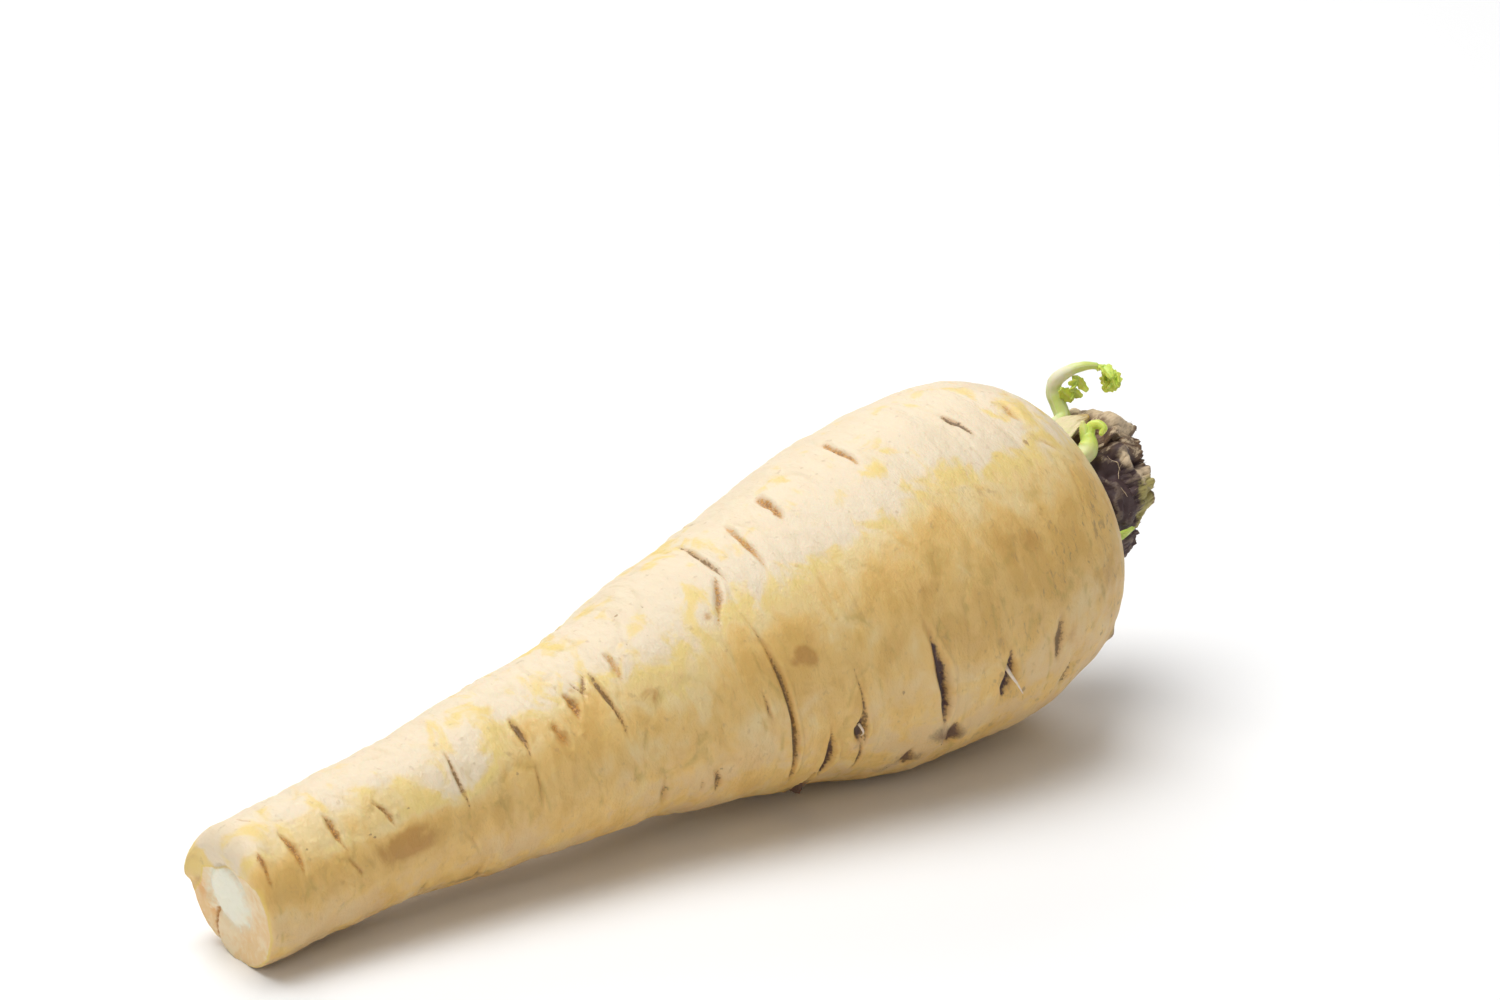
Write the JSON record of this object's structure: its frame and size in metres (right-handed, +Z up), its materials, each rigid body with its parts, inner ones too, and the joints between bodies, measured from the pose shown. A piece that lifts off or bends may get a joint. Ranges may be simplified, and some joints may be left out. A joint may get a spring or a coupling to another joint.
{
  "type": "parsnip",
  "caption": "Whole parsnip lying on its side: thick tapered root with ringed furrows and a cut tip, a stub of withered leaf bases in its sunken crown, and young green shoots beside it.",
  "frame": {"origin": "on the surface that the parsnip lies on, under the middle of its bounding box", "axes": "+X from the cut tip to the crown, +Z up, +Y across the root, away from the side that the forked shoot stands on"},
  "size_m": [0.1982, 0.0627, 0.0634],
  "materials": {
    "parsnip_skin": "cream to tan root skin with brown furrows, satin",
    "withered_leaf_base": "dark brown, withered and fibrous",
    "shoot_stalk": "pale cream-green, smooth",
    "young_leaf": "fresh lime green, soft sheen",
    "dry_sheath": "dry, pale tan, papery"
  },
  "bodies": {
    "root": {"taproot": "parsnip_skin", "crown_stub": "withered_leaf_base", "hooked_stalk": "shoot_stalk", "hooked_leaf": "young_leaf", "side_leaflet": "young_leaf", "forked_shoot": "young_leaf", "bud_sheath": "dry_sheath", "green_bud": "young_leaf"}
  },
  "joints": []
}
